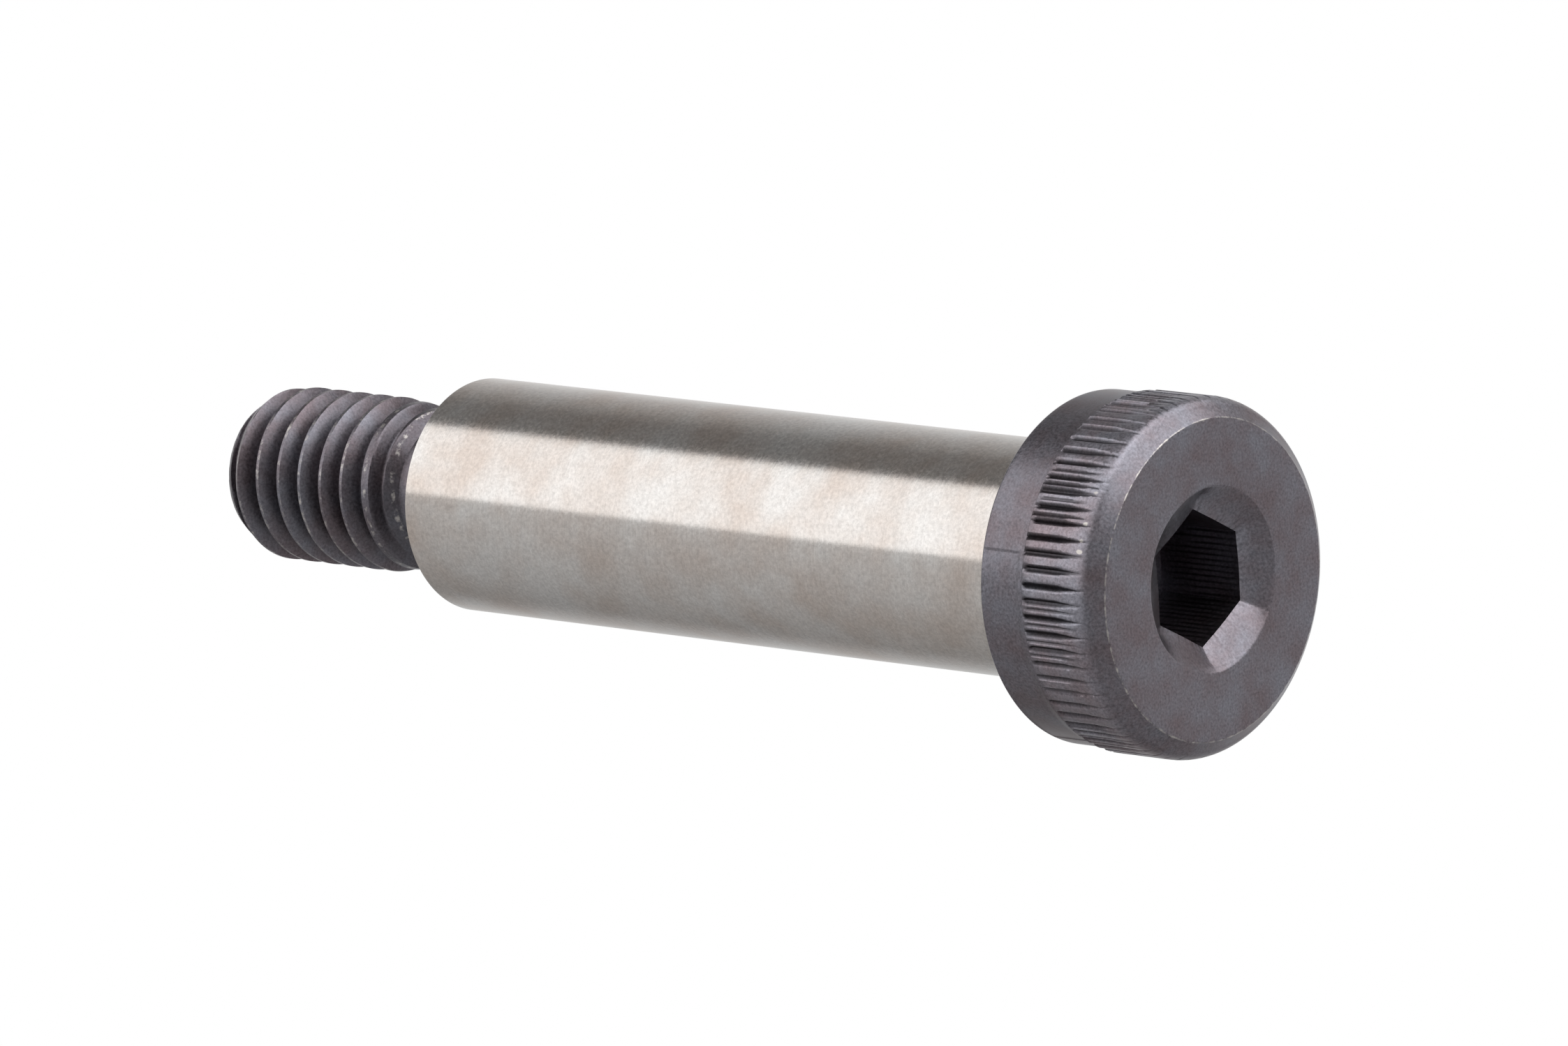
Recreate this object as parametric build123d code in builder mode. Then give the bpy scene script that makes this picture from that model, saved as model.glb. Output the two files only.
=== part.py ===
from build123d import *
import os
from math import cos, radians, tan

# Socket-head shoulder bolt, 1/2 x 1-3/4 inch with a 3/8-16 thread. Millimetres.
# Frame: origin at the centre of the head's flat face, +Z along the axis towards the thread,
# two corners of the hexagon socket on the X axis. The bolt stands on its head.

INCH = 25.4

# Shoulder: the ground journal that carries a pulley, a lever or a wheel
shoulder_diameter = 0.498 * INCH
shoulder_length = 1.75 * INCH
shoulder_end_chamfer = 0.2

# Head
head_diameter = 0.750 * INCH
head_height = 0.312 * INCH
face_chamfer_width = 0.45
face_chamfer_height = 0.7
face_edge_radius = 0.6
rear_edge_radius = 0.2

# Straight knurl round the head, between the plain rear band and the rounded face edge
knurl_teeth = 70
knurl_depth = 0.2
knurl_groove_angle = 90.0
rear_band_height = 3.1

# Hexagon socket and its countersunk mouth; the web is what the socket leaves before the bearing face
hex_across_flats = 6.38
socket_web = 1.5248
socket_floor_angle = 150.0
countersink_margin = 1.2465
countersink_angle = 120.0

# Neck under the head, where the shoulder meets the bearing face
shoulder_neck_depth = 0.3
shoulder_neck_width = 2.0

# Neck between the shoulder and the thread; its depth is below the thread's crests
thread_neck_depth = 1.0425
thread_neck_width = 2.8
thread_neck_fillet = 0.5

# Threaded stud: crest diameter, with the run-out of the crests beside the neck
thread_diameter = 0.375 * INCH
thread_length = 0.625 * INCH
runout_height = 2.6
runout_depth = 0.42
tip_chamfer_width = 1.0425
tip_chamfer_height = 1.55

# Sizes that follow from these
shoulder_radius = shoulder_diameter / 2
shoulder_end = head_height + shoulder_length
head_radius = head_diameter / 2
rear_band_radius = head_radius - knurl_depth
face_radius = head_radius - face_edge_radius - face_chamfer_width
knurl_top = head_height - rear_band_height
band_start_height = face_chamfer_height + 1.5 * face_edge_radius
thread_radius = thread_diameter / 2
thread_neck_radius = thread_radius - thread_neck_depth
tip_radius = thread_radius - tip_chamfer_width
thread_start = shoulder_end + thread_neck_width
tip_end = shoulder_end + thread_length
socket_radius = hex_across_flats / 2
socket_depth = head_height - socket_web
mouth_radius = socket_radius / cos(radians(30)) + countersink_margin

# One vee groove of the knurl: full depth at the rear band, rising to nothing at the rounded face edge
groove_overshoot = 0.1
groove_reach = knurl_depth + groove_overshoot
groove_half_width = groove_reach * tan(radians(knurl_groove_angle / 2))
groove_rise = knurl_depth / (knurl_top - band_start_height)

with BuildPart() as knurl_groove:
    with BuildSketch(Plane.XY.offset(knurl_top + knurl_depth)):
        with Locations((rear_band_radius, 0)):
            Polygon((0, 0), (groove_reach, -groove_half_width), (groove_reach, groove_half_width), align=None)
    extrude(amount=knurl_top, dir=(groove_rise, 0, -1))

with BuildPart() as bolt:
    # Turned form: head, shoulder and stud in one section, revolved about the axis
    with BuildSketch(Plane.XZ) as turned_section:
        with BuildLine():
            # Face, chamfer and the rounded edge that blends into the knurled band
            chamfer_end = (face_radius + face_chamfer_width, face_chamfer_height)
            band_start = (head_radius, band_start_height)
            Polyline((0, 0), (face_radius, 0), chamfer_end)
            TangentArc(band_start, chamfer_end, tangent=(0, -1))
            # Knurled band, step down to the plain rear band, and its rounded rear edge
            step_end = (rear_band_radius, knurl_top + knurl_depth)
            rear_corner = (rear_band_radius, head_height - rear_edge_radius)
            bearing_edge = (rear_band_radius - rear_edge_radius, head_height)
            Polyline(band_start, (head_radius, knurl_top), step_end, rear_corner)
            RadiusArc(rear_corner, bearing_edge, -rear_edge_radius)
            # Bearing face, shoulder neck, journal and its chamfered end
            neck_radius = shoulder_radius - shoulder_neck_depth
            neck_top = head_height + shoulder_neck_width
            journal_start = (shoulder_radius, neck_top + shoulder_neck_depth)
            journal_end = (shoulder_radius, shoulder_end - shoulder_end_chamfer)
            end_face_outer = (shoulder_radius - shoulder_end_chamfer, shoulder_end)
            end_face_inner = (thread_neck_radius + thread_neck_fillet, shoulder_end)
            Polyline(bearing_edge, (neck_radius, head_height), (neck_radius, neck_top), journal_start)
            Polyline(journal_start, journal_end, end_face_outer, end_face_inner)
            # Thread neck, crests that rise over the run-out, and the chamfered tip
            fillet_end = (thread_neck_radius, shoulder_end + thread_neck_fillet)
            runout_radius = thread_radius - runout_depth
            runout_start = thread_start + runout_radius - thread_neck_radius
            RadiusArc(end_face_inner, fillet_end, thread_neck_fillet)
            Polyline(
                fillet_end,
                (thread_neck_radius, thread_start),
                (runout_radius, runout_start),
                (thread_radius, runout_start + runout_height),
                (thread_radius, tip_end - tip_chamfer_height),
                (tip_radius, tip_end),
                (0, tip_end),
                (0, 0),
            )
        make_face()
    revolve(axis=Axis.Z)

    # Straight knurl: the tapered grooves, repeated round the head
    with PolarLocations(0, knurl_teeth):
        add(knurl_groove.part, mode=Mode.SUBTRACT)

    # Hexagon socket with a shallow conical floor, as the punch leaves it
    floor_depth = socket_radius / tan(radians(socket_floor_angle / 2))
    with BuildSketch(Plane.XY):
        RegularPolygon(radius=socket_radius, side_count=6, major_radius=False)
    extrude(amount=socket_depth, mode=Mode.SUBTRACT)
    with Locations((0, 0, socket_depth)):
        Cone(socket_radius, 0, floor_depth, align=(Align.CENTER, Align.CENTER, Align.MIN), mode=Mode.SUBTRACT)

    # Countersunk mouth of the socket
    mouth_depth = mouth_radius / tan(radians(countersink_angle / 2))
    Cone(mouth_radius, 0, mouth_depth, align=(Align.CENTER, Align.CENTER, Align.MIN), mode=Mode.SUBTRACT)

bolt.part.label = "shoulder_bolt"
os.makedirs("parts", exist_ok=True)
export_step(bolt.part, "parts/shoulder_bolt.step")
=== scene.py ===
from math import atan2, cos, degrees, pi, radians, sin, sqrt, tan

import bmesh
import bpy
from mathutils import Matrix, Vector


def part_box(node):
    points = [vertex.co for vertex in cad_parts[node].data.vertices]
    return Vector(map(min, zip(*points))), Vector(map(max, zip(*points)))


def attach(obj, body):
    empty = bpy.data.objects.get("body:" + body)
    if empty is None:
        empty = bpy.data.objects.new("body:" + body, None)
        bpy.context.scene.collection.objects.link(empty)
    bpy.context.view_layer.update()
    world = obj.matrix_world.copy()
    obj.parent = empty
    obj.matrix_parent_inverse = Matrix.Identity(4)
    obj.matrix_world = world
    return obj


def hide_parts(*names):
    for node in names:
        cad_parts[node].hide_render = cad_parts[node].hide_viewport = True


# Socket-head shoulder bolt, standing on its head. Row frame: +Z runs from the head's face to the thread.
# Sizes below are in millimetres, as a maker states them, and MM turns them to metres.
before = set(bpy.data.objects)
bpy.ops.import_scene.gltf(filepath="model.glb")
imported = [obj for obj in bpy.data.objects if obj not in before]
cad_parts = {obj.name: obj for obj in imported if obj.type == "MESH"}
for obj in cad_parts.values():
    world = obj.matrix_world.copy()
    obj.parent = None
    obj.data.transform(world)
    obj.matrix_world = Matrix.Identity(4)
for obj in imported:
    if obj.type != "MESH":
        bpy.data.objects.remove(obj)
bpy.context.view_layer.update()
MM = 0.001
INCH = 25.4

# ---------------------------------------------------------------- sizes
low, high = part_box("shoulder_bolt")
HEAD_R = high.x / MM
TIP_Z = high.z / MM

HEAD_H = 0.312 * INCH
FACE_R = 8.49
CHAMFER_W = 0.5
CHAMFER_H = 0.42
BAND_START = 1.35
KNURL_DEPTH = 0.2
KNURL_TEETH = 70
REAR_R = HEAD_R - KNURL_DEPTH
REAR_EDGE = 0.2
KNURL_TOP = HEAD_H - 3.1
KNURL_FRONT = 0.45
KNURL_CUT = 0.24

# Face edge, as (radius from FACE_R, height), and the pull of the curve from the bevel to the band
EDGE_BREAK = ((-0.05, 0.0), (-0.015, 0.004), (0.012, 0.03))
BLEND_PULL_R = 0.06
BLEND_PULL_Z = 0.28
BLEND_STEPS = 12
FACE_INSET = 0.4

# Bare rectangle rolled into the rear band; its turns are in degrees from +X
ROLL_LOW = 5.3
ROLL_HIGH = 7.75
ROLL_STEP = 0.03
ROLL_FROM = -150.8
ROLL_TO = -72.0
ROLL_DEPTH = 0.035
REAR_ROWS = (5.15, ROLL_LOW - ROLL_STEP, ROLL_LOW + ROLL_STEP, 5.6, 6.2, 6.9, 7.5, HEAD_H - REAR_EDGE)

MOUTH_R = 4.93
MOUTH_EASE_R = 0.05
MOUTH_EASE_Z = 0.006
MOUTH_SLOPE = tan(radians(60))
FACET_DROP = 0.34
FACET_RISE = 2.2
HEX_TURN = 60.0
HEX_FLAT = 3.19
SOCKET_Z = 6.4
FLOOR_CONE = HEX_FLAT / tan(radians(75))
FLOOR_INSET = 0.995

SHOULDER_R = 0.249 * INCH
NECK_DEPTH = 0.3
NECK_R = SHOULDER_R - NECK_DEPTH
JOURNAL_RISE = 2.3
JOURNAL_Z = HEAD_H + JOURNAL_RISE
SHOULDER_Z = HEAD_H + 1.75 * INCH
END_CHAMFER = 0.2

PITCH = INCH / 16
CREST_R = 0.1875 * INCH
ROOT_R = 3.789
STUD_NECK_R = 3.72
NECK_FILLET = 0.5
THREAD_Z = SHOULDER_Z + 2.8
RUNOUT_R = CREST_R - 0.42
RUNOUT_H = 2.6
TIP_R = 3.2
TIP_ROUND = 0.25
TIP_H = 1.75
CREST_HELIX_Z = 58.96
CREST_HALF = 1 / 16  # half of a crest's flat, in pitches
FLANK_SLOPE = tan(radians(60))
ROOT_ROUND = 0.12
END_FACE_ROW = 0.4
WELD = 0.002


# ---------------------------------------------------------------- small helpers
def linear(colour):
    """An sRGB hex colour as linear RGBA."""
    parts = [int(colour[i:i + 2], 16) / 255 for i in (1, 3, 5)]
    return tuple(c / 12.92 if c <= 0.04045 else ((c + 0.055) / 1.055) ** 2.4 for c in parts) + (1.0,)


def add(tree, kind, inputs=None, **settings):
    """Adds a node: settings are its properties, and an input takes a value or another node's output."""
    node = tree.nodes.new(kind)
    for name, value in settings.items():
        setattr(node, name, value)
    for name, value in (inputs or {}).items():
        if isinstance(value, bpy.types.NodeSocket):
            tree.links.new(value, node.inputs[name])
        else:
            node.inputs[name].default_value = value
    return node


def new_object(name, mesh, material=None):
    piece = bpy.data.objects.new(name, mesh)
    bpy.context.scene.collection.objects.link(piece)
    if material is not None:
        mesh.materials.append(material)
    return piece


def lathe(bm, profile, columns, start=None):
    """Rings of vertices round Z, joined by quads. profile is [(radius, z)] in mm; start is a ring before it."""
    previous = start
    for radius, z in profile:
        ring = [
            bm.verts.new(
                (radius * MM * cos(2 * pi * k / columns), radius * MM * sin(2 * pi * k / columns), z * MM)
            )
            for k in range(columns)
        ]
        if previous is not None:
            join_rings(bm, previous, ring)
        previous = ring
    return previous


def join_rings(bm, first, second):
    """Faces between two rings. The first may hold a whole number of times the second's vertices."""
    step = len(first) // len(second)
    if step * len(second) != len(first):
        return join_rings(bm, second, first)
    for k in range(len(second)):
        span = [first[(k * step + j) % len(first)] for j in range(step + 1)]
        bm.faces.new(span + [second[(k + 1) % len(second)], second[k]])


def close_ring(bm, ring, z):
    """A fan to one vertex on the axis."""
    centre = bm.verts.new((0, 0, z * MM))
    for k in range(len(ring)):
        bm.faces.new((ring[k], ring[(k + 1) % len(ring)], centre))


def to_mesh(bm, name):
    """A smooth-shaded mesh with its faces turned outwards."""
    bmesh.ops.recalc_face_normals(bm, faces=bm.faces)
    mesh = bpy.data.meshes.new(name)
    bm.to_mesh(mesh)
    bm.free()
    mesh.shade_smooth()
    return mesh


def arc(centre, radius, first, last, steps):
    """Points on a profile arc, in mm; angles in degrees from the +radius axis."""
    return [
        (centre[0] + radius * cos(radians(first + (last - first) * k / steps)),
         centre[1] + radius * sin(radians(first + (last - first) * k / steps)))
        for k in range(steps + 1)
    ]


def run(first, last, steps):
    """Points on a straight profile run, without its first point."""
    return [
        (first[0] + (last[0] - first[0]) * k / steps, first[1] + (last[1] - first[1]) * k / steps)
        for k in range(1, steps + 1)
    ]


def sharpen(mesh, angle):
    """Edges that turn by more than this many degrees keep a crisp line."""
    mesh.set_sharp_from_angle(angle=radians(angle))


# ---------------------------------------------------------------- camera
# Sees the bolt on its side, the head to the right and nearest
camera_data = bpy.data.cameras.new("camera")
camera_data.lens = 332.32
camera_data.sensor_width = 36
camera_data.clip_start = 0.05
camera_data.clip_end = 20
camera = bpy.data.objects.new("camera", camera_data)
bpy.context.scene.collection.objects.link(camera)
bpy.context.scene.camera = camera
CAMERA_PLACE = Vector((0.15936616, -0.54854191, -0.48707532))
CAMERA_RIGHT = Vector((-0.07351029, 0.67284708, -0.73612026))
CAMERA_UP = Vector((0.97571148, 0.20125117, 0.08651634))
back = CAMERA_RIGHT.cross(CAMERA_UP)
camera.matrix_world = Matrix.Translation(CAMERA_PLACE) @ Matrix(
    (CAMERA_RIGHT, CAMERA_UP, back)
).transposed().to_4x4()

# ---------------------------------------------------------------- world, lamps, cards and floor
scene = bpy.context.scene
scene.view_settings.view_transform = "Standard"
world = bpy.data.worlds.new("studio")
scene.world = world
world.use_nodes = True
tree = world.node_tree
tree.nodes.clear()
path = add(tree, "ShaderNodeLightPath")
seen = add(
    tree, "ShaderNodeMath", {0: path.outputs["Is Camera Ray"], 1: path.outputs["Is Glossy Ray"]},
    operation="MAXIMUM"
)
seen = add(
    tree, "ShaderNodeMath", {0: seen.outputs[0], 1: path.outputs["Is Transmission Ray"]}, operation="MAXIMUM"
)
fill = add(tree, "ShaderNodeBackground", {"Color": linear("#ffffff"), "Strength": 0.55})
white = add(tree, "ShaderNodeBackground", {"Color": linear("#ffffff"), "Strength": 1.0})
mixed = add(tree, "ShaderNodeMixShader", {0: seen.outputs[0], 1: fill.outputs[0], 2: white.outputs[0]})
add(tree, "ShaderNodeOutputWorld", {"Surface": mixed.outputs[0]})

# Where the studio's azimuth 0 lies, in degrees from +X
VIEW_AZIMUTH = -73.8


def direction(azimuth, elevation):
    a, e = radians(azimuth + VIEW_AZIMUTH), radians(elevation)
    return Vector((cos(a) * cos(e), sin(a) * cos(e), sin(e)))


def softbox(name, place, facing, width, height, power):
    """An area lamp, its height along Z as nearly as its facing allows."""
    data = bpy.data.lights.new(name, "AREA")
    data.shape = "RECTANGLE"
    data.size = width
    data.size_y = height
    data.energy = power
    lamp = bpy.data.objects.new(name, data)
    scene.collection.objects.link(lamp)
    lamp.visible_camera = False
    lamp.matrix_world = Matrix.Translation(place) @ (-facing).to_track_quat("Z", "Y").to_matrix().to_4x4()
    return lamp


# Side softbox: stands upright beyond the thread's end, and gives the shoulder its bright band
side = direction(29, 0)
softbox("side_softbox", side * 1.0 + Vector((0, 0, 0.98)), -side, width=1.453, height=2.25, power=5.2)
# Softbox above the bolt as the camera holds it: lights the chamfer, the countersink's far side and the
# thread's upper flanks. A lamp doesn't hide the white surround behind it, so both add up in a reflection.
top = direction(90, 0)
across = direction(0, 0)
softbox(
    "top_softbox", top * 1.0 - across * 0.03 + Vector((0, 0, -1.15)), -top, width=1.65, height=2.5, power=25.0
)


def card(name, azimuths, elevations, first, last, distance=2.2):
    """A curved card round the bolt, seen only in reflections. Its grey runs from first to last with azimuth."""
    bm = bmesh.new()
    columns, rows = 24, 12
    grid = []
    for i in range(rows + 1):
        e = elevations[0] + (elevations[1] - elevations[0]) * i / rows
        turns = [azimuths[0] + (azimuths[1] - azimuths[0]) * j / columns for j in range(columns + 1)]
        grid.append([bm.verts.new(direction(turn, e) * distance) for turn in turns])
    for i in range(rows):
        for j in range(columns):
            bm.faces.new((grid[i][j], grid[i][j + 1], grid[i + 1][j + 1], grid[i + 1][j]))
    mesh = bpy.data.meshes.new(name)
    bm.to_mesh(mesh)
    bm.free()
    across = mesh.attributes.new("across", "FLOAT", "POINT")
    across.data.foreach_set("value", [j / columns for i in range(rows + 1) for j in range(columns + 1)])
    material = bpy.data.materials.new(name)
    material.use_nodes = True
    tree = material.node_tree
    tree.nodes.clear()
    share = add(tree, "ShaderNodeAttribute", attribute_name="across")
    grey = add(tree, "ShaderNodeMapRange", {"Value": share.outputs["Fac"], "To Min": first, "To Max": last})
    glow = add(tree, "ShaderNodeEmission", {"Color": grey.outputs[0], "Strength": 1.0})
    add(tree, "ShaderNodeOutputMaterial", {"Surface": glow.outputs[0]})
    piece = new_object(name, mesh, material)
    piece.visible_camera = False
    piece.visible_diffuse = False
    piece.visible_transmission = False
    piece.visible_shadow = False
    return piece


card("card_beside_softbox", (65, 100), (6, 89), 0.20, 0.22)
card("card_over", (100, 172), (-20, 89), 0.24, 0.95)
card("card_behind", (188, 240), (-20, 89), 0.75, 0.34)
card("card_table", (240, 353), (-20, 89), 0.34, 0.72)
card("card_room", (-170, 150), (-89, -20), 0.5, 0.5, 3.0)
card("card_room_front", (150, 190), (-89, -20), 0.8, 0.8, 3.0)

# Floor
floor_material = bpy.data.materials.new("white_sweep")
floor_material.use_nodes = True
tree = floor_material.node_tree
tree.nodes.clear()
place = add(tree, "ShaderNodeTexCoord")
far = add(tree, "ShaderNodeVectorMath", {0: place.outputs["Object"]}, operation="LENGTH")
fade = add(
    tree, "ShaderNodeMapRange", {"Value": far.outputs["Value"], "From Min": 0.12, "From Max": 0.45},
    interpolation_type="SMOOTHSTEP"
)
under = add(tree, "ShaderNodeNewGeometry")
hidden = add(
    tree, "ShaderNodeMath", {0: fade.outputs[0], 1: under.outputs["Backfacing"]}, operation="MAXIMUM"
)
paint = add(tree, "ShaderNodeBsdfDiffuse", {"Color": linear("#f4f4f2")})
clear = add(tree, "ShaderNodeBsdfTransparent")
mixed = add(tree, "ShaderNodeMixShader", {0: hidden.outputs[0], 1: paint.outputs[0], 2: clear.outputs[0]})
add(tree, "ShaderNodeOutputMaterial", {"Surface": mixed.outputs[0]})
bm = bmesh.new()
bmesh.ops.create_circle(bm, cap_ends=True, segments=64, radius=0.5)
floor_mesh = bpy.data.meshes.new("floor")
bm.to_mesh(floor_mesh)
bm.free()
floor_mesh.transform(Matrix.Translation((0, 0, low.z - 0.05 * MM)))
floor = new_object("floor", floor_mesh, floor_material)
floor.visible_diffuse = False
floor.visible_glossy = False
floor.visible_transmission = False
floor.visible_shadow = False


# ---------------------------------------------------------------- materials
def start_material(name):
    material = bpy.data.materials.new(name)
    material.use_nodes = True
    material.node_tree.nodes.clear()
    tree = material.node_tree
    place = add(tree, "ShaderNodeTexCoord")
    mm = add(tree, "ShaderNodeVectorMath", {0: place.outputs["Object"], "Scale": 1000.0}, operation="SCALE")
    return material, tree, mm.outputs[0]


def ground_steel():
    """Cylindrically ground alloy steel: bright, its fine rings drawing each reflection out along the axis."""
    material, tree, mm = start_material("ground_steel")
    # wheel marks: rings 0.05 mm apart, each fading in and out round the shoulder
    ringed = add(tree, "ShaderNodeVectorMath", {0: mm, 1: (0.35, 0.35, 18.0)}, operation="MULTIPLY")
    rings = add(
        tree, "ShaderNodeTexNoise",
        {"Vector": ringed.outputs[0], "Scale": 1.0, "Detail": 3.0, "Roughness": 0.6}
    )
    # grain: 0.2 mm mottle
    grain = add(tree, "ShaderNodeTexNoise", {"Vector": mm, "Scale": 5.0, "Detail": 3.0, "Roughness": 0.7})
    # oil and handling: patches 4 mm across
    patches = add(tree, "ShaderNodeTexNoise", {"Vector": mm, "Scale": 0.22, "Detail": 3.0, "Roughness": 0.55})
    tint = add(tree, "ShaderNodeValToRGB", {"Fac": patches.outputs["Fac"]})
    tint.color_ramp.elements[0].position = 0.35
    tint.color_ramp.elements[0].color = linear("#c3b8b0")
    tint.color_ramp.elements[1].position = 0.65
    tint.color_ramp.elements[1].color = linear("#d0cdca")
    shade = add(
        tree, "ShaderNodeMapRange",
        {"Value": grain.outputs["Fac"], "From Min": 0.3, "From Max": 0.7, "To Min": 0.82, "To Max": 1.12}
    )
    lines = add(
        tree, "ShaderNodeMapRange",
        {"Value": rings.outputs["Fac"], "From Min": 0.3, "From Max": 0.7, "To Min": 0.94, "To Max": 1.04}
    )
    level = add(tree, "ShaderNodeMath", {0: shade.outputs[0], 1: lines.outputs[0]}, operation="MULTIPLY")
    colour = add(
        tree, "ShaderNodeVectorMath", {0: tint.outputs["Color"], "Scale": level.outputs[0]}, operation="SCALE"
    )
    rough = add(
        tree, "ShaderNodeMapRange",
        {"Value": grain.outputs["Fac"], "From Min": 0.3, "From Max": 0.7, "To Min": 0.15, "To Max": 0.20}
    )
    bump = add(
        tree, "ShaderNodeBump", {"Height": rings.outputs["Fac"], "Strength": 0.12, "Distance": 0.00003}
    )
    tangent = add(tree, "ShaderNodeTangent", direction_type="RADIAL", axis="Z")
    shader = add(tree, "ShaderNodeBsdfPrincipled", {
        "Base Color": colour.outputs[0], "Metallic": 1.0, "Roughness": rough.outputs[0], "Anisotropic": 0.85,
        "Anisotropic Rotation": 0.25, "Normal": bump.outputs[0], "Tangent": tangent.outputs[0]})
    add(tree, "ShaderNodeOutputMaterial", {"Surface": shader.outputs[0]})
    return material


def black_oxide(name, rub_and_highlight_from):
    """Black oxide on alloy steel: thin, dark, faintly violet-brown, and rubbed through to the steel along
    edges; it also carries painted shade in the knurl's vees and the thread's roots, and painted highlights on
    crests and edges.
    """
    material, tree, mm = start_material(name)
    grain = add(tree, "ShaderNodeTexNoise", {"Vector": mm, "Scale": 7.0, "Detail": 3.0, "Roughness": 0.65})
    patches = add(tree, "ShaderNodeTexNoise", {"Vector": mm, "Scale": 0.35, "Detail": 4.0, "Roughness": 0.6})
    tint = add(tree, "ShaderNodeValToRGB", {"Fac": patches.outputs["Fac"]})
    tint.color_ramp.elements[0].position = 0.35
    tint.color_ramp.elements[0].color = linear("#685f63")
    tint.color_ramp.elements[1].position = 0.65
    tint.color_ramp.elements[1].color = linear("#706f76")
    shade = add(
        tree, "ShaderNodeMapRange",
        {"Value": grain.outputs["Fac"], "From Min": 0.3, "From Max": 0.7, "To Min": 0.68, "To Max": 1.32}
    )
    oxide = add(
        tree, "ShaderNodeVectorMath", {0: tint.outputs["Color"], "Scale": shade.outputs[0]}, operation="SCALE"
    )
    # painted shade and painted highlight: the piece's own attribute darkens the knurl's vees and the thread's
    # roots by their depth, and lightens the knurl's crests as burnished wear with a painted highlight
    painted_shade_and_crest_shine = add(tree, "ShaderNodeAttribute", attribute_name="painted_shade_and_crest_shine")
    painted_shade_scale = add(
        tree, "ShaderNodeMapRange",
        {"Value": painted_shade_and_crest_shine.outputs["Fac"], "From Min": -1.0, "To Min": 1.9, "To Max": 0.34}
    )
    oxide = add(
        tree, "ShaderNodeVectorMath", {0: oxide.outputs[0], "Scale": painted_shade_scale.outputs[0]}, operation="SCALE"
    )
    # wear and painted highlight: the piece's own attribute says where an edge is rubbed and where a highlight
    # is painted in steel colour (the crests' front ends, the line along the rolled rectangle), and speckle
    # breaks it up
    worn_and_highlight = add(tree, "ShaderNodeAttribute", attribute_name="wear_and_highlight")
    speckle = add(tree, "ShaderNodeTexNoise", {"Vector": mm, "Scale": 2.2, "Detail": 4.0, "Roughness": 0.65})
    bare_and_highlight = add(
        tree, "ShaderNodeMath", {0: worn_and_highlight.outputs["Fac"], 1: speckle.outputs["Fac"]}, operation="MULTIPLY"
    )
    bare_and_highlight = add(
        tree, "ShaderNodeMapRange",
        {"Value": bare_and_highlight.outputs[0], "From Min": rub_and_highlight_from, "From Max": rub_and_highlight_from + 0.2}
    )
    colour = add(
        tree, "ShaderNodeMix", {0: bare_and_highlight.outputs[0], 6: oxide.outputs[0], 7: linear("#b9b4b0")},
        data_type="RGBA"
    )
    rough = add(
        tree, "ShaderNodeMapRange",
        {"Value": grain.outputs["Fac"], "From Min": 0.3, "From Max": 0.7, "To Min": 0.28, "To Max": 0.40}
    )
    bump = add(
        tree, "ShaderNodeBump", {"Height": grain.outputs["Fac"], "Strength": 0.25, "Distance": 0.00002}
    )
    shader = add(tree, "ShaderNodeBsdfPrincipled", {
        "Base Color": colour.outputs[
            2
        ], "Metallic": 1.0, "Roughness": rough.outputs[0], "Normal": bump.outputs[0]})
    add(tree, "ShaderNodeOutputMaterial", {"Surface": shader.outputs[0]})
    return material


shoulder_finish = ground_steel()
head_finish = black_oxide("black_oxide_head", 0.35)
stud_finish = black_oxide("black_oxide_thread", 0.5)


# ---------------------------------------------------------------- Geometry Nodes
def new_tree(name, sizes):
    """A Geometry Nodes tree with a mesh input, named size inputs and a mesh output."""
    tree = bpy.data.node_groups.new(name, "GeometryNodeTree")
    tree.interface.new_socket("Geometry", in_out="INPUT", socket_type="NodeSocketGeometry")
    for label, value in sizes.items():
        kind = "NodeSocketInt" if isinstance(value, int) else "NodeSocketFloat"
        if isinstance(value, bpy.types.Material):
            kind = "NodeSocketMaterial"
        tree.interface.new_socket(label, in_out="INPUT", socket_type=kind)
    tree.interface.new_socket("Geometry", in_out="OUTPUT", socket_type="NodeSocketGeometry")
    return tree


def finish_tree(tree, geometry, material):
    real = add(tree, "GeometryNodeRealizeInstances", {"Geometry": geometry})
    painted = add(tree, "GeometryNodeSetMaterial", {"Geometry": real.outputs[0], "Material": material})
    add(tree, "NodeGroupOutput", {"Geometry": painted.outputs[0]})


def made_by(tree, sizes, name, mesh):
    """Runs a tree on a mesh and returns the result as a plain mesh object with no modifier."""
    source = new_object(name + "_source", mesh)
    modifier = source.modifiers.new(tree.name, "NODES")
    modifier.node_group = tree
    for item in tree.interface.items_tree:
        if item.in_out == "INPUT" and item.name in sizes:
            modifier[item.identifier] = sizes[item.name]
    bpy.context.view_layer.update()
    graph = bpy.context.evaluated_depsgraph_get()
    made = bpy.data.meshes.new_from_object(source.evaluated_get(graph))
    bpy.data.objects.remove(source)
    made.name = name
    piece = bpy.data.objects.new(name, made)
    scene.collection.objects.link(piece)
    return piece


# ---------------------------------------------------------------- head
COLUMNS = KNURL_TEETH * 12
# Rows of the countersink and of the hexagon's walls, as shares of their height
MOUTH_SHARES = (0.06, 0.14, 0.25, 0.4, 0.6, 0.8, 1.0)
WALL_SHARES = (0.1, 0.4, 0.7, 1.0)
INNER = COLUMNS // 4


def hex_radius(k):
    """Distance from the axis to the socket wall at column k, in mm."""
    turn = (360.0 * k / INNER) % HEX_TURN - HEX_TURN / 2
    return HEX_FLAT / cos(radians(turn))


def corner_drop(k, share):
    """How far the countersink's facets lie below a plain cone, in mm; most at the hexagon's corners."""
    turn = radians((360.0 * k / INNER) % HEX_TURN - HEX_TURN / 2)
    return FACET_DROP * min(1.0, share * FACET_RISE) * (1 - cos(turn)) / (1 - cos(radians(HEX_TURN / 2)))


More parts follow.
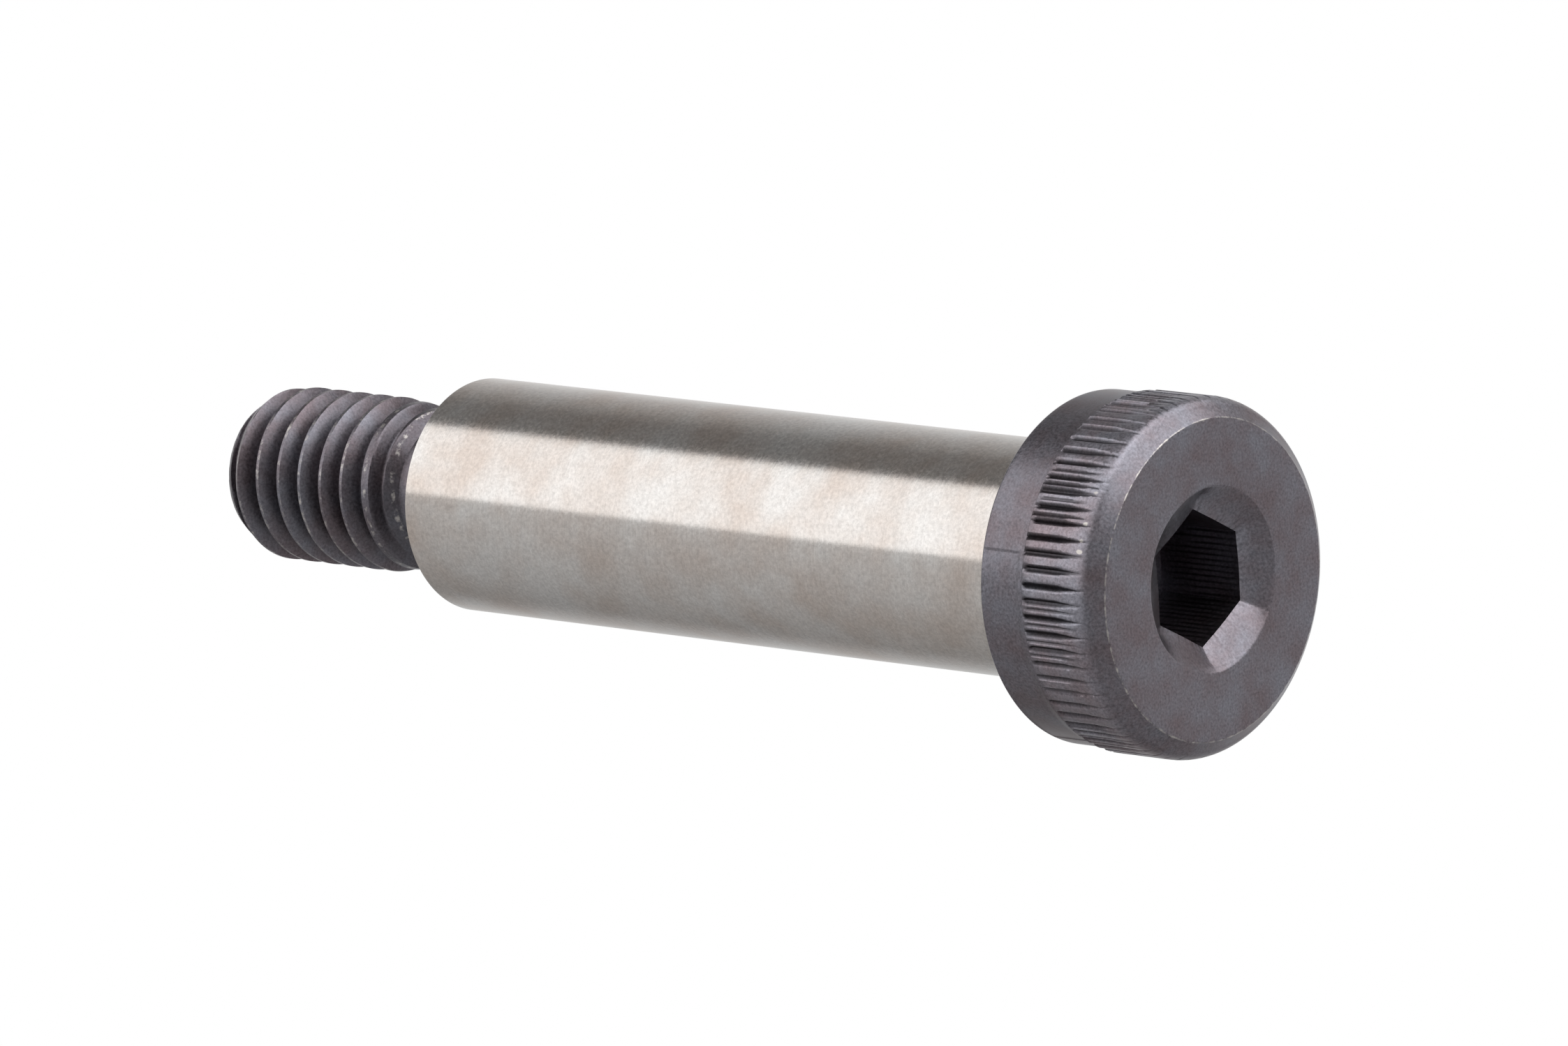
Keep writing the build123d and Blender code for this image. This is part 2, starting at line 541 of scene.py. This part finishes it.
def head_mesh():
    bm = bmesh.new()
    # face edge, chamfer, rounded edge and the knurled band
    chamfer_end = (FACE_R + CHAMFER_W, CHAMFER_H)
    outer = [(FACE_R + r, z) for r, z in EDGE_BREAK]
    outer += run(outer[-1], chamfer_end, steps=5)
    for k in range(1, BLEND_STEPS + 1):
        t = k / BLEND_STEPS
        u = 1 - t
        r = u * u * chamfer_end[0] + 2 * u * t * (HEAD_R - BLEND_PULL_R) + t * t * HEAD_R
        z = u * u * chamfer_end[1] + 2 * u * t * (CHAMFER_H + BLEND_PULL_Z) + t * t * BAND_START
        outer.append((r, z))
    outer += run((HEAD_R, BAND_START), (HEAD_R, KNURL_TOP), steps=26)
    outer += run((HEAD_R, KNURL_TOP), (REAR_R, KNURL_TOP + KNURL_DEPTH), steps=4)
    outer += [(REAR_R, z) for z in REAR_ROWS]
    outer += arc((REAR_R - REAR_EDGE, HEAD_H - REAR_EDGE), REAR_EDGE, 0, 90, steps=4)[1:]
    rim = lathe(bm, outer[:1], COLUMNS)
    ring = lathe(bm, outer[1:], COLUMNS, rim)
    # bearing face, neck and its rise to the shoulder
    ring = lathe(
        bm,
        [
            (NECK_R + NECK_DEPTH, HEAD_H), (NECK_R, HEAD_H), (NECK_R, JOURNAL_Z - NECK_DEPTH),
            (SHOULDER_R, JOURNAL_Z)
        ],
        INNER, ring
    )
    close_ring(bm, ring, JOURNAL_Z)
    # face, countersunk mouth, hexagon walls and conical floor
    ring = lathe(
        bm, [(FACE_R - FACE_INSET, 0), (MOUTH_R + MOUTH_EASE_R, 0.0), (MOUTH_R, MOUTH_EASE_Z)], INNER, rim
    )
    for share in MOUTH_SHARES:
        new = []
        for k in range(INNER):
            r = MOUTH_R + (hex_radius(k) - MOUTH_R) * share
            z = (MOUTH_R - r) / MOUTH_SLOPE + corner_drop(k, share)
            a = 2 * pi * k / INNER
            new.append(bm.verts.new((r * MM * cos(a), r * MM * sin(a), z * MM)))
        join_rings(bm, ring, new)
        ring = new
    for share in WALL_SHARES:
        new = []
        for k in range(INNER):
            r = hex_radius(k)
            top = (MOUTH_R - r) / MOUTH_SLOPE + corner_drop(k, 1.0)
            a = 2 * pi * k / INNER
            new.append(
                bm.verts.new((r * MM * cos(a), r * MM * sin(a), (top + (SOCKET_Z - top) * share) * MM))
            )
        join_rings(bm, ring, new)
        ring = new
    ring = lathe(
        bm, [(HEX_FLAT * FLOOR_INSET, SOCKET_Z), (HEX_FLAT * 0.5, SOCKET_Z + FLOOR_CONE * 0.5)], INNER, ring
    )
    close_ring(bm, ring, SOCKET_Z + FLOOR_CONE)
    return to_mesh(bm, "head")


# What the knurl's tree notes for the finish, in mm: at which cut a vee gets its full painted shade, how shallow
# a crest gets its lift (burnished wear with painted highlight) and between which heights, and how wide the
# face's edge is rubbed
BAND_REACH = 0.7
SHADE_CUT = 0.13
CREST_CUT = 0.04
CREST_SHINE = -0.75
SHINE_FRONT = (0.6, 1.3)
SHINE_REAR = (4.3, 4.85)
RUB_WIDTH = (0.03, 0.12)
RUB_HEIGHT = (0.05, 0.1)
RUB = 0.86

KNURL_SIZES = {
    "Teeth": KNURL_TEETH, "Depth": KNURL_CUT * MM, "Start": KNURL_FRONT * MM, "Top": KNURL_TOP * MM,
    "Second strike": 0.55, "Zones": 8, "Zone turn": -52.0, "Seed": 7, "Material": head_finish,
}


def knurl_tree():
    """Presses the knurl into the head's band: tapered vees, and a second strike where the wheel lost step."""
    tree = new_tree("straight_knurl", KNURL_SIZES)
    given = add(tree, "NodeGroupInput").outputs
    position = add(tree, "GeometryNodeInputPosition")
    axes = add(tree, "ShaderNodeSeparateXYZ", {0: position.outputs[0]}).outputs
    angle = add(tree, "ShaderNodeMath", {0: axes["Y"], 1: axes["X"]}, operation="ARCTAN2")
    turn = add(tree, "ShaderNodeMath", {0: angle.outputs[0], 1: 2 * pi}, operation="DIVIDE")
    tooth = add(tree, "ShaderNodeMath", {0: turn.outputs[0], 1: given["Teeth"]}, operation="MULTIPLY")
    flat = add(tree, "ShaderNodeVectorMath", {0: position.outputs[0], 1: (1, 1, 0)}, operation="MULTIPLY")
    radius = add(tree, "ShaderNodeVectorMath", {0: flat.outputs[0]}, operation="LENGTH")
    pitch = add(tree, "ShaderNodeMath", {0: 2 * pi * HEAD_R * MM, 1: given["Teeth"]}, operation="DIVIDE")
    depths = []
    for strike in (0, 1):
        shifted = add(tree, "ShaderNodeMath", {0: tooth.outputs[0], 1: 0.5 + 0.5 * strike}, operation="ADD")
        index = add(tree, "ShaderNodeMath", {0: shifted.outputs[0]}, operation="FLOOR")
        index = add(
            tree, "ShaderNodeMath", {0: index.outputs[0], 1: given["Teeth"]}, operation="FLOORED_MODULO"
        )
        part = add(tree, "ShaderNodeMath", {0: shifted.outputs[0]}, operation="FRACT")
        seed = add(tree, "ShaderNodeMath", {0: given["Seed"], 1: 10.0 * strike}, operation="ADD")
        sway = add(
            tree, "FunctionNodeRandomValue",
            {2: -0.07, 3: 0.07, "ID": index.outputs[0], "Seed": seed.outputs[0]}, data_type="FLOAT"
        )
        seed = add(tree, "ShaderNodeMath", {0: seed.outputs[0], 1: 1.0}, operation="ADD")
        vary = add(
            tree, "FunctionNodeRandomValue",
            {2: 0.75, 3: 1.0, "ID": index.outputs[0], "Seed": seed.outputs[0]}, data_type="FLOAT"
        )
        seed = add(tree, "ShaderNodeMath", {0: seed.outputs[0], 1: 1.0}, operation="ADD")
        reach = add(
            tree, "FunctionNodeRandomValue",
            {2: -0.25 * MM, 3: 0.1 * MM, "ID": index.outputs[0], "Seed": seed.outputs[0]}, data_type="FLOAT"
        )
        off = add(tree, "ShaderNodeMath", {0: part.outputs[0], 1: -0.5}, operation="ADD")
        off = add(tree, "ShaderNodeMath", {0: off.outputs[0], 1: sway.outputs[1]}, operation="ADD")
        off = add(tree, "ShaderNodeMath", {0: off.outputs[0]}, operation="ABSOLUTE")
        off = add(tree, "ShaderNodeMath", {0: off.outputs[0], 1: pitch.outputs[0]}, operation="MULTIPLY")
        end = add(tree, "ShaderNodeMath", {0: given["Top"], 1: reach.outputs[1]}, operation="ADD")
        half = add(tree, "ShaderNodeMath", {0: given["Start"], 1: end.outputs[0]}, operation="ADD")
        half = add(tree, "ShaderNodeMath", {0: half.outputs[0], 1: 0.5}, operation="MULTIPLY")
        full = add(
            tree, "ShaderNodeMapRange",
            {"Value": axes["Z"], "From Min": given["Start"], "From Max": half.outputs[0]}
        )
        past = add(tree, "ShaderNodeMath", {0: axes["Z"], 1: end.outputs[0]}, operation="SUBTRACT")
        past = add(tree, "ShaderNodeMath", {0: past.outputs[0], 1: 0.0}, operation="MAXIMUM")
        depth = add(tree, "ShaderNodeMath", {0: full.outputs[0], 1: given["Depth"]}, operation="MULTIPLY")
        depth = add(tree, "ShaderNodeMath", {0: depth.outputs[0], 1: vary.outputs[1]}, operation="MULTIPLY")
        if strike:
            zone = add(tree, "ShaderNodeMath", {0: given["Zone turn"], 1: -pi / 180}, operation="MULTIPLY")
            zone = add(tree, "ShaderNodeMath", {0: angle.outputs[0], 1: zone.outputs[0]}, operation="ADD")
            zone = add(tree, "ShaderNodeMath", {0: zone.outputs[0], 1: given["Zones"]}, operation="MULTIPLY")
            zone = add(tree, "ShaderNodeMath", {0: zone.outputs[0]}, operation="COSINE")
            zone = add(
                tree, "ShaderNodeMapRange", {"Value": zone.outputs[0], "From Min": -0.1, "From Max": 0.5}
            )
            zone = add(
                tree, "ShaderNodeMath", {0: zone.outputs[0], 1: given["Second strike"]}, operation="MULTIPLY"
            )
            depth = add(
                tree, "ShaderNodeMath", {0: depth.outputs[0], 1: zone.outputs[0]}, operation="MULTIPLY"
            )
        cut = add(tree, "ShaderNodeMath", {0: depth.outputs[0], 1: off.outputs[0]}, operation="SUBTRACT")
        cut = add(tree, "ShaderNodeMath", {0: cut.outputs[0], 1: past.outputs[0]}, operation="SUBTRACT")
        depths.append(cut.outputs[0])
    cut = add(tree, "ShaderNodeMath", {0: depths[0], 1: depths[1]}, operation="MAXIMUM")
    cut = add(tree, "ShaderNodeMath", {0: cut.outputs[0], 1: 0.0}, operation="MAXIMUM")
    # the vees lie under the band's crest circle, so the step to the rear band swallows them
    spare = add(
        tree, "ShaderNodeMapRange",
        {
            "Value": axes["Z"], "From Min": given["Top"], "From Max": (KNURL_TOP + KNURL_DEPTH) * MM,
            "To Min": 0.0, "To Max": KNURL_DEPTH * MM
        }
    )
    cut = add(tree, "ShaderNodeMath", {0: cut.outputs[0], 1: spare.outputs[0]}, operation="SUBTRACT")
    cut = add(tree, "ShaderNodeMath", {0: cut.outputs[0], 1: 0.0}, operation="MAXIMUM")
    new_r = add(tree, "ShaderNodeMath", {0: radius.outputs["Value"], 1: cut.outputs[0]}, operation="SUBTRACT")
    share = add(tree, "ShaderNodeMath", {0: new_r.outputs[0], 1: radius.outputs["Value"]}, operation="DIVIDE")
    scaled = add(
        tree, "ShaderNodeVectorMath", {0: flat.outputs[0], "Scale": share.outputs[0]}, operation="SCALE"
    )
    height = add(tree, "ShaderNodeCombineXYZ", {"Z": axes["Z"]})
    moved = add(tree, "ShaderNodeVectorMath", {0: scaled.outputs[0], 1: height.outputs[0]}, operation="ADD")
    on_band = add(
        tree, "FunctionNodeCompare", {0: radius.outputs["Value"], 1: (HEAD_R - BAND_REACH) * MM},
        data_type="FLOAT", operation="GREATER_THAN"
    )
    # rubbed place: the face's edge
    rim = add(tree, "ShaderNodeMath", {0: radius.outputs["Value"], 1: FACE_R * MM}, operation="SUBTRACT")
    rim = add(tree, "ShaderNodeMath", {0: rim.outputs[0]}, operation="ABSOLUTE")
    rim = add(
        tree, "ShaderNodeMapRange",
        {
            "Value": rim.outputs[0], "From Min": RUB_WIDTH[0] * MM, "From Max": RUB_WIDTH[1] * MM,
            "To Min": RUB, "To Max": 0.0
        }
    )
    front = add(
        tree, "ShaderNodeMapRange",
        {
            "Value": axes["Z"], "From Min": RUB_HEIGHT[0] * MM, "From Max": RUB_HEIGHT[1] * MM, "To Min": 1.0,
            "To Max": 0.0
        }
    )
    rim = add(tree, "ShaderNodeMath", {0: rim.outputs[0], 1: front.outputs[0]}, operation="MULTIPLY")
    noted = add(
        tree, "GeometryNodeStoreNamedAttribute",
        {"Geometry": given["Geometry"], "Name": "wear_and_highlight", "Value": rim.outputs[0]}, data_type="FLOAT",
        domain="POINT"
    )
    # painted shade: a vee is darker the more it is cut; a crest is lightened, burnished wear with painted
    # highlight
    painted_shade_and_crest_shine = add(tree, "ShaderNodeMath", {0: cut.outputs[0], 1: SHADE_CUT * MM}, operation="DIVIDE")
    crest = add(
        tree, "ShaderNodeMapRange",
        {"Value": cut.outputs[0], "From Max": CREST_CUT * MM, "To Min": CREST_SHINE, "To Max": 0.0}
    )
    front = add(
        tree, "ShaderNodeMapRange",
        {"Value": axes["Z"], "From Min": SHINE_FRONT[0] * MM, "From Max": SHINE_FRONT[1] * MM}
    )
    rear = add(
        tree, "ShaderNodeMapRange",
        {
            "Value": axes["Z"], "From Min": SHINE_REAR[0] * MM, "From Max": SHINE_REAR[1] * MM, "To Min": 1.0,
            "To Max": 0.0
        }
    )
    crest = add(tree, "ShaderNodeMath", {0: crest.outputs[0], 1: front.outputs[0]}, operation="MULTIPLY")
    crest = add(tree, "ShaderNodeMath", {0: crest.outputs[0], 1: rear.outputs[0]}, operation="MULTIPLY")
    painted_shade_and_crest_shine = add(tree, "ShaderNodeMath", {0: painted_shade_and_crest_shine.outputs[0], 1: crest.outputs[0]}, operation="ADD")
    painted_shade_and_crest_shine = add(
        tree, "GeometryNodeStoreNamedAttribute",
        {"Geometry": noted.outputs[0], "Name": "painted_shade_and_crest_shine", "Value": painted_shade_and_crest_shine.outputs[0]}, data_type="FLOAT",
        domain="POINT"
    )
    pressed = add(
        tree, "GeometryNodeSetPosition",
        {"Geometry": painted_shade_and_crest_shine.outputs[0], "Selection": on_band.outputs[0], "Position": moved.outputs[0]}
    )
    finish_tree(tree, pressed.outputs[0], given["Material"])
    return tree


head = made_by(knurl_tree(), KNURL_SIZES, "head", head_mesh())
NEAR = 0.02
ROLL_EDGE_HIGHLIGHT = 0.62
# Painted highlights (glints) at the crests' front ends, painted in steel colour: turn in degrees from +X, and
# strength
GLINTS = [(-70.0, 1.0), (-66.5, 0.75), (-61.0, 0.95), (-50.5, 0.7)]
GLINT_Z = 1.15
GLINT_HALF_WIDTH = 0.17
GLINT_HALF_LENGTH = 0.26
GLINT_STRENGTH = 1.5
GLINT_INSIDE = 0.3


def roll_rectangle(mesh):
    """Sinks the uncoated rectangle into the rear band, and paints a highlight in steel colour along its front
    edge.
    """
    wear_and_highlight = mesh.attributes["wear_and_highlight"].data
    for vertex in mesh.vertices:
        x, y, z = (c / MM for c in vertex.co)
        radius = sqrt(x * x + y * y)
        if abs(radius - REAR_R) >= NEAR or not ROLL_FROM < degrees(atan2(y, x)) < ROLL_TO:
            continue
        if ROLL_LOW < z < ROLL_HIGH:
            share = 1 - ROLL_DEPTH / radius
            vertex.co = (x * share * MM, y * share * MM, z * MM)
        # painted highlight: the line along the rectangle's front edge is lit up in steel colour
        if abs(z - ROLL_LOW + ROLL_STEP) < NEAR:
            wear_and_highlight[vertex.index].value = ROLL_EDGE_HIGHLIGHT


def paint_crest_glints(mesh):
    """Paints a small soft highlight in steel colour at the front end of each listed crest."""
    wear_and_highlight = mesh.attributes["wear_and_highlight"].data
    for vertex in mesh.vertices:
        x, y, z = (c / MM for c in vertex.co)
        radius = sqrt(x * x + y * y)
        if radius <= FACE_R + GLINT_INSIDE:
            continue
        for place, strength in GLINTS:
            aside = radians(degrees(atan2(y, x)) - place) * radius / GLINT_HALF_WIDTH
            off = sqrt(aside ** 2 + ((z - GLINT_Z) / GLINT_HALF_LENGTH) ** 2)
            if off < 1:
                shine = GLINT_STRENGTH * strength * (1 - off * off)
                wear_and_highlight[vertex.index].value = max(wear_and_highlight[vertex.index].value, shine)


roll_rectangle(head.data)
paint_crest_glints(head.data)
sharpen(head.data, 40)


# ---------------------------------------------------------------- shoulder
def shoulder_mesh():
    bm = bmesh.new()
    bottom = lathe(bm, [(SHOULDER_R, JOURNAL_Z)], 256)
    top = lathe(bm, run((SHOULDER_R, JOURNAL_Z), (SHOULDER_R, SHOULDER_Z - END_CHAMFER), 12), 256, bottom)
    close_ring(bm, bottom, JOURNAL_Z)
    close_ring(bm, top, SHOULDER_Z - END_CHAMFER)
    return to_mesh(bm, "shoulder")


shoulder = new_object("shoulder", shoulder_mesh(), shoulder_finish)
sharpen(shoulder.data, 30)

# ---------------------------------------------------------------- threaded stud
ROWS_PER_PITCH = 32
THREAD_COLUMNS = 144
CREST_RUB = (0.06, 0.09)  # distance from a crest's middle, in pitches, over which its rub fades
# painted shade in the thread's roots: the depth below the crest at which it is full, and how dark it gets
ROOT_SHADE_DEPTH = 0.5
ROOT_SHADE = 0.55
THREAD_SIZES = {
    "Pitch": PITCH * MM, "Crest radius": CREST_R * MM, "Root radius": ROOT_R * MM,
    "Neck radius": STUD_NECK_R * MM,
    "Neck end": THREAD_Z * MM, "Run-out radius": RUNOUT_R * MM, "Run-out height": RUNOUT_H * MM,
    "Tip radius": TIP_R * MM, "Tip height": TIP_H * MM, "Tip end": TIP_Z * MM,
    "Helix start": (
        CREST_HELIX_Z - 4 * PITCH
    ) * MM, "Turns": 10, "Columns": THREAD_COLUMNS, "Rows per turn": ROWS_PER_PITCH,
    "Material": stud_finish,
}


def thread_tree():
    """Rolls the thread: a sheet whose rows climb as the helix does, so each crest edge is one clean line."""
    tree = new_tree("rolled_thread", THREAD_SIZES)
    given = add(tree, "NodeGroupInput").outputs
    rows = add(tree, "ShaderNodeMath", {0: given["Turns"], 1: given["Rows per turn"]}, operation="MULTIPLY")
    row_count = add(tree, "ShaderNodeMath", {0: rows.outputs[0], 1: 1.0}, operation="ADD")
    column_count = add(tree, "ShaderNodeMath", {0: given["Columns"], 1: 1.0}, operation="ADD")
    sheet = add(
        tree, "GeometryNodeMeshGrid",
        {
            "Size X": 1.0, "Size Y": 1.0, "Vertices X": row_count.outputs[0],
            "Vertices Y": column_count.outputs[0]
        }
    )
    position = add(tree, "GeometryNodeInputPosition")
    axes = add(tree, "ShaderNodeSeparateXYZ", {0: position.outputs[0]}).outputs
    turn = add(tree, "ShaderNodeMath", {0: axes["Y"], 1: 0.5}, operation="ADD")
    angle = add(tree, "ShaderNodeMath", {0: turn.outputs[0], 1: 2 * pi}, operation="MULTIPLY")
    along = add(tree, "ShaderNodeMath", {0: axes["X"], 1: 0.5}, operation="ADD")
    along = add(tree, "ShaderNodeMath", {0: along.outputs[0], 1: given["Turns"]}, operation="MULTIPLY")
    climb = add(tree, "ShaderNodeMath", {0: along.outputs[0], 1: turn.outputs[0]}, operation="ADD")
    climb = add(
        tree, "ShaderNodeMath", {0: climb.outputs[0], 1: given["Pitch"], 2: given["Helix start"]},
        operation="MULTIPLY_ADD"
    )
    height = add(
        tree, "ShaderNodeClamp",
        {"Value": climb.outputs[0], "Min": given["Neck end"], "Max": given["Tip end"]}
    )
    # distance from the nearest crest, in pitches
    off = add(tree, "ShaderNodeMath", {0: along.outputs[0], 1: 0.5}, operation="ADD")
    off = add(tree, "ShaderNodeMath", {0: off.outputs[0]}, operation="FRACT")
    off = add(tree, "ShaderNodeMath", {0: off.outputs[0], 1: -0.5}, operation="ADD")
    off = add(tree, "ShaderNodeMath", {0: off.outputs[0]}, operation="ABSOLUTE")
    past = add(tree, "ShaderNodeMath", {0: off.outputs[0], 1: -CREST_HALF}, operation="ADD")
    past = add(tree, "ShaderNodeMath", {0: past.outputs[0], 1: 0.0}, operation="MAXIMUM")
    drop = add(tree, "ShaderNodeMath", {0: past.outputs[0], 1: given["Pitch"]}, operation="MULTIPLY")
    drop = add(tree, "ShaderNodeMath", {0: drop.outputs[0], 1: FLANK_SLOPE}, operation="MULTIPLY")
    flank = add(tree, "ShaderNodeMath", {0: given["Crest radius"], 1: drop.outputs[0]}, operation="SUBTRACT")
    formed = add(
        tree, "ShaderNodeMath", {0: flank.outputs[0], 1: given["Root radius"], 2: ROOT_ROUND * MM},
        operation="SMOOTH_MAX"
    )
    # blank: neck, run-out, full diameter and chamfered tip
    step = add(
        tree, "ShaderNodeMath", {0: given["Run-out radius"], 1: given["Neck radius"]}, operation="SUBTRACT"
    )
    runout_start = add(tree, "ShaderNodeMath", {0: given["Neck end"], 1: step.outputs[0]}, operation="ADD")
    runout_end = add(
        tree, "ShaderNodeMath", {0: runout_start.outputs[0], 1: given["Run-out height"]}, operation="ADD"
    )
    tip_start = add(
        tree, "ShaderNodeMath", {0: given["Tip end"], 1: given["Tip height"]}, operation="SUBTRACT"
    )
    z = height.outputs[0]
    rise = add(
        tree, "ShaderNodeMapRange",
        {
            "Value": z, "From Min": given["Neck end"], "From Max": runout_start.outputs[0],
            "To Min": given["Neck radius"], "To Max": given["Run-out radius"]
        }
    )
    grow = add(
        tree, "ShaderNodeMapRange",
        {
            "Value": z, "From Min": runout_start.outputs[0], "From Max": runout_end.outputs[0],
            "To Min": given["Run-out radius"], "To Max": given["Crest radius"]
        }
    )
    in_rise = add(
        tree, "FunctionNodeCompare", {0: z, 1: runout_start.outputs[0]}, data_type="FLOAT",
        operation="LESS_THAN"
    )
    blank = add(
        tree, "GeometryNodeSwitch", {0: in_rise.outputs[0], 1: grow.outputs[0], 2: rise.outputs[0]},
        input_type="FLOAT"
    )
    tip = add(
        tree, "ShaderNodeMapRange",
        {
            "Value": z, "From Min": tip_start.outputs[0], "From Max": given["Tip end"],
            "To Min": given["Crest radius"], "To Max": given["Neck radius"]
        }
    )
    blank = add(tree, "ShaderNodeMath", {0: blank.outputs[0], 1: tip.outputs[0]}, operation="MINIMUM")
    rounded = add(tree, "ShaderNodeMath", {0: given["Tip end"], 1: -TIP_ROUND * MM}, operation="ADD")
    tip = add(
        tree, "ShaderNodeMapRange",
        {
            "Value": z, "From Min": rounded.outputs[0], "From Max": given["Tip end"], "To Min": 0.0,
            "To Max": (STUD_NECK_R - TIP_R) * MM
        }
    )
    blank = add(tree, "ShaderNodeMath", {0: blank.outputs[0], 1: tip.outputs[0]}, operation="SUBTRACT")
    radius = add(tree, "ShaderNodeMath", {0: formed.outputs[0], 1: blank.outputs[0]}, operation="MINIMUM")
    x = add(tree, "ShaderNodeMath", {0: angle.outputs[0]}, operation="COSINE")
    y = add(tree, "ShaderNodeMath", {0: angle.outputs[0]}, operation="SINE")
    x = add(tree, "ShaderNodeMath", {0: x.outputs[0], 1: radius.outputs[0]}, operation="MULTIPLY")
    y = add(tree, "ShaderNodeMath", {0: y.outputs[0], 1: radius.outputs[0]}, operation="MULTIPLY")
    placed = add(tree, "ShaderNodeCombineXYZ", {"X": x.outputs[0], "Y": y.outputs[0], "Z": z})
    # rubbed places are kept on the sheet before it is rolled: the crests
    crest = add(
        tree, "ShaderNodeMapRange",
        {
            "Value": off.outputs[0], "From Min": CREST_RUB[0], "From Max": CREST_RUB[1], "To Min": 1.0,
            "To Max": 0.0
        }
    )
    noted = add(
        tree, "GeometryNodeStoreNamedAttribute",
        {"Geometry": sheet.outputs["Mesh"], "Name": "wear_and_highlight", "Value": crest.outputs[0]}, data_type="FLOAT",
        domain="POINT"
    )
    # painted shade: the thread is darker the further it lies below the crest
    painted_shade_and_crest_shine = add(tree, "ShaderNodeMath", {0: given["Crest radius"], 1: radius.outputs[0]}, operation="SUBTRACT")
    painted_shade_and_crest_shine = add(tree, "ShaderNodeMath", {0: painted_shade_and_crest_shine.outputs[0], 1: ROOT_SHADE_DEPTH * MM}, operation="DIVIDE")
    painted_shade_and_crest_shine = add(tree, "ShaderNodeClamp", {"Value": painted_shade_and_crest_shine.outputs[0]})
    painted_shade_and_crest_shine = add(tree, "ShaderNodeMath", {0: painted_shade_and_crest_shine.outputs[0], 1: ROOT_SHADE}, operation="MULTIPLY")
    noted = add(
        tree, "GeometryNodeStoreNamedAttribute",
        {"Geometry": noted.outputs[0], "Name": "painted_shade_and_crest_shine", "Value": painted_shade_and_crest_shine.outputs[0]}, data_type="FLOAT",
        domain="POINT"
    )
    rolled = add(
        tree, "GeometryNodeSetPosition", {"Geometry": noted.outputs[0], "Position": placed.outputs[0]}
    )
    both = add(tree, "GeometryNodeJoinGeometry")
    tree.links.new(given["Geometry"], both.inputs[0])
    tree.links.new(rolled.outputs[0], both.inputs[0])
    welded = add(tree, "GeometryNodeMergeByDistance", {"Geometry": both.outputs[0], "Distance": WELD * MM})
    finish_tree(tree, welded.outputs[0], given["Material"])
    return tree


def stud_mesh():
    """The stud without its thread: the shoulder's end face, the neck below the thread and the flat tip."""
    bm = bmesh.new()
    profile = [
        (SHOULDER_R, SHOULDER_Z - END_CHAMFER), (SHOULDER_R - END_CHAMFER, SHOULDER_Z),
        (STUD_NECK_R + NECK_FILLET + END_FACE_ROW, SHOULDER_Z)
    ]
    profile += arc((STUD_NECK_R + NECK_FILLET, SHOULDER_Z + NECK_FILLET), NECK_FILLET, 270, 180, 6)
    profile += run((STUD_NECK_R, SHOULDER_Z + NECK_FILLET), (STUD_NECK_R, THREAD_Z), 4)
    bottom = lathe(bm, profile[:1], THREAD_COLUMNS)
    lathe(bm, profile[1:], THREAD_COLUMNS, bottom)
    close_ring(bm, bottom, SHOULDER_Z - END_CHAMFER)
    tip = lathe(bm, [(TIP_R, TIP_Z)], THREAD_COLUMNS)
    close_ring(bm, tip, TIP_Z)
    return to_mesh(bm, "stud")


stud = made_by(thread_tree(), THREAD_SIZES, "threaded_stud", stud_mesh())
bm = bmesh.new()
bm.from_mesh(stud.data)
bmesh.ops.dissolve_degenerate(bm, dist=1e-7, edges=bm.edges)
bmesh.ops.recalc_face_normals(bm, faces=bm.faces)
bm.to_mesh(stud.data)
bm.free()
stud.data.shade_smooth()
sharpen(stud.data, 35)

for piece, slot in ((head, "black_oxide"), (shoulder, "ground_steel"), (stud, "black_oxide")):
    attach(piece, "root")
    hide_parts("shoulder_bolt")
